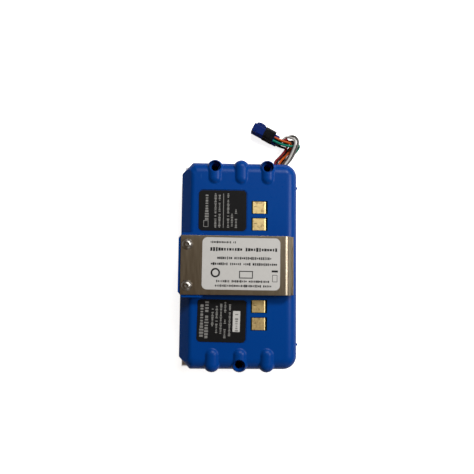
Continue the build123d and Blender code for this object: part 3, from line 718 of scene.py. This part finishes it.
wire_routes = {
    "red": wire_start(0.0201, upper_heights) + [
        (0.0199, 0.0578, 0.0060), (0.0226, 0.0604, 0.0052), (0.0253, 0.0636, 0.0042),
        (0.0270, 0.0666, 0.0031), (0.0279, 0.0692, 0.0029), (0.0274, 0.0709, 0.0036),
        (0.0258, 0.0708, 0.0046)] + into_plug(0, 2, wire_end),
    "orange": wire_start(0.0218, upper_heights) + [
        (0.0236, 0.0589, 0.0052), (0.0263, 0.0615, 0.0038), (0.0282, 0.0640, 0.0029),
        (0.0293, 0.0664, 0.0034), (0.0292, 0.0682, 0.0053),
        (0.0272, 0.0688, 0.0063)] + into_plug(0, 3, top_wire_end),
    "brown": wire_start(0.0235, upper_heights) + [
        (0.0260, 0.0584, 0.0050), (0.0278, 0.0610, 0.0050), (0.0293, 0.0637, 0.0047),
        (0.0305, 0.0666, 0.0045), (0.0309, 0.0692, 0.0046), (0.0298, 0.0702, 0.0049),
        (0.0274, 0.0689, 0.0045)] + into_plug(1, 2, wire_end),
    "white": wire_start(0.0252, upper_heights) + [
        (0.0274, 0.0586, 0.0066), (0.0289, 0.0616, 0.0068), (0.0302, 0.0646, 0.0072),
        (0.0311, 0.0674, 0.0079), (0.0313, 0.0702, 0.0074), (0.0286, 0.0719, 0.0054),
        (0.0262, 0.0728, 0.0032)] + into_plug(0, 1, wire_end),
    "black_long": wire_start(0.02095, lower_heights) + [
        (0.0214, 0.0586, 0.0044), (0.0242, 0.0610, 0.0034), (0.0264, 0.0638, 0.0023),
        (0.0286, 0.0662, 0.0019), (0.0302, 0.0686, 0.0017), (0.0296, 0.0710, 0.0016),
        (0.0272, 0.0702, 0.0014)] + into_plug(1, 1, wire_end),
    "black_short": wire_start(0.02265, lower_heights) + [
        (0.0252, 0.0596, 0.0024), (0.0270, 0.0626, 0.0008), (0.0276, 0.0652, 0.00075),
        (0.0266, 0.0669, 0.0008), (0.0249, 0.0673, 0.0010)] + into_plug(1, 0, wire_end),
    "green": wire_start(0.02435, lower_heights) + [
        (0.0266, 0.0594, 0.0030), (0.0294, 0.0616, 0.0023), (0.0322, 0.0644, 0.0019),
        (0.0339, 0.0666, 0.0024), (0.0339, 0.0678, 0.0044), (0.0314, 0.0668, 0.0061),
        (0.0274, 0.0666, 0.0066)] + into_plug(1, 3, top_wire_end),
    "grey": wire_start(0.02605, lower_heights) + [
        (0.0284, 0.0584, 0.0046), (0.0302, 0.0612, 0.0054), (0.0315, 0.0644, 0.0064),
        (0.0326, 0.0672, 0.0075), (0.0330, 0.0702, 0.0062), (0.0314, 0.0730, 0.0044),
        (0.0286, 0.0734, 0.0028), (0.0260, 0.0720, 0.0017)] + into_plug(0, 0, wire_end),
}
wire_colours = {
    "red": shade(118, 0, 12), "orange": shade(196, 84, 22), "brown": shade(76, 56, 48),
    "white": shade(200, 200, 196), "black_long": shade(16, 16, 17), "black_short": shade(16, 16, 17),
    "green": shade(0, 128, 104), "grey": shade(104, 102, 100),
}

for wire, route in wire_routes.items():
    insulation = finish("insulation_" + wire, wire_colours[wire], 0.38, shine=0.15)
    deeper = [0.55 * value for value in wire_colours[wire]]
    tint(insulation, speckle(insulation, 700, 3), deeper, 0.45)
    roughen(insulation, speckle(insulation, 1500, 3), 0.32, 0.48)
    emboss(insulation, speckle(insulation, 2400, 2), 0.15, 0.00003)
    path = bpy.data.curves.new("insulated_" + wire, "CURVE")
    path.dimensions = "3D"
    path.resolution_u = 10
    path.bevel_depth = wire_thickness / 2
    path.bevel_resolution = 4
    path.use_fill_caps = True
    spline = path.splines.new("NURBS")
    spline.points.add(len(route) - 1)
    for point, place in zip(spline.points, route):
        point.co = (*place, 1)
    spline.order_u = 3
    spline.use_endpoint_u = True
    path.materials.append(insulation)
    strand = bpy.data.objects.new("insulated_" + wire, path)
    scene.collection.objects.link(strand)
    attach(strand, "case")
    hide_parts("wire_" + wire)


# Connector
# A nylon receptacle in two rows of four, coloured a darker blue than the case, stepped at the rear, with a
# springy side latch and tinned crimp sockets. Its plastic is smoother than the case's.
nylon = finish("connector_nylon", shade(0, 33, 104), 0.30, shine=0.08)
tint(nylon, speckle(nylon, 350, 4), shade(0, 24, 84), 0.5)
roughen(nylon, speckle(nylon, 1400, 3), 0.24, 0.36)
emboss(nylon, speckle(nylon, 2600, 2), 0.10, 0.00002)
dress(nylon, "connector_housing", "connector_latch")

tin = finish("tinned_brass", (0.62, 0.61, 0.58), 0.30, 1.0)
tint(tin, speckle(tin, 2200, 3), (0.42, 0.40, 0.37), 0.6)
dress(tin, "connector_terminals")


# Tape
# Black vinyl tape wound twice round the housing and the root of the latch. The lap shows as a step, and the
# surface puckers a little where it spans from the latch to the housing.
tape_start = 0.0070
tape_end = 0.01305
tape_axis_z = 0.003925
half_width = 0.00252
half_height = 0.003545
latch_out = half_width + 0.00125
latch_half = 0.001525
tape_thickness = 0.00015
lap_step = 0.00008
pucker_height = 0.00006
edge_roll = 0.00006
edge_rise = 8
inner_gap = 0.00002
corner_steps = 3
side_steps = 5
stations = 19
section = [Vector(corner) for corner in (
    (-half_width, -half_height), (half_width, -half_height), (latch_out, -latch_half),
    (latch_out, latch_half), (half_width, half_height), (-half_width, half_height))]

around = []
for i, corner in enumerate(section):
    before = section[i - 1]
    after = section[(i + 1) % len(section)]
    edge_in = (corner - before).normalized()
    edge_out = (after - corner).normalized()
    out_before = Vector((edge_in.y, -edge_in.x))
    out_after = Vector((edge_out.y, -edge_out.x))
    for step in range(corner_steps + 1):
        around.append((corner, out_before.lerp(out_after, step / corner_steps).normalized()))
    for step in range(1, side_steps):
        around.append((corner.lerp(after, step / side_steps), out_after))

winding = bmesh.new()
rings = []
for station in range(stations):
    share = station / (stations - 1)
    along = tape_start + (tape_end - tape_start) * share
    rolled = edge_roll * (1 - min(1.0, edge_rise * share, edge_rise * (1 - share)))
    outer = []
    inner = []
    for place, (base, out) in enumerate(around):
        lap = place / len(around)
        pucker = pucker_height * noise.noise(Vector((share * 3.0, lap * 9.0, 0.3)))
        thickness = tape_thickness + lap_step * lap + pucker - rolled
        for loop, height in ((outer, thickness), (inner, inner_gap)):
            point = base + out * height
            loop.append(winding.verts.new(at_plug(along, point.x, point.y + tape_axis_z)))
    rings.append((outer, inner))
count = len(around)
for (outer_a, inner_a), (outer_b, inner_b) in zip(rings, rings[1:]):
    for i in range(count):
        j = (i + 1) % count
        winding.faces.new((outer_a[i], outer_a[j], outer_b[j], outer_b[i]))
        winding.faces.new((inner_a[j], inner_a[i], inner_b[i], inner_b[j]))
for outer, inner in (rings[0], rings[-1]):
    for i in range(count):
        j = (i + 1) % count
        winding.faces.new((outer[i], inner[i], inner[j], outer[j]))
bmesh.ops.recalc_face_normals(winding, faces=winding.faces)
tape_mesh = bpy.data.meshes.new("vinyl_tape")
winding.to_mesh(tape_mesh)
winding.free()
tape_mesh.shade_smooth()
tape_mesh.set_sharp_from_angle(angle=math.radians(40))
vinyl = finish("black_vinyl", shade(6, 6, 8), 0.30, shine=0.05)
tint(vinyl, speckle(vinyl, 900, 4), shade(16, 16, 18), 0.6)
roughen(vinyl, speckle(vinyl, 700, 4), 0.24, 0.40)
emboss(vinyl, speckle(vinyl, 2000, 3), 0.12, 0.00003)
tape_mesh.materials.append(vinyl)
vinyl_tape = bpy.data.objects.new("vinyl_tape", tape_mesh)
scene.collection.objects.link(vinyl_tape)
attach(vinyl_tape, "case")
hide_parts("connector_tape")
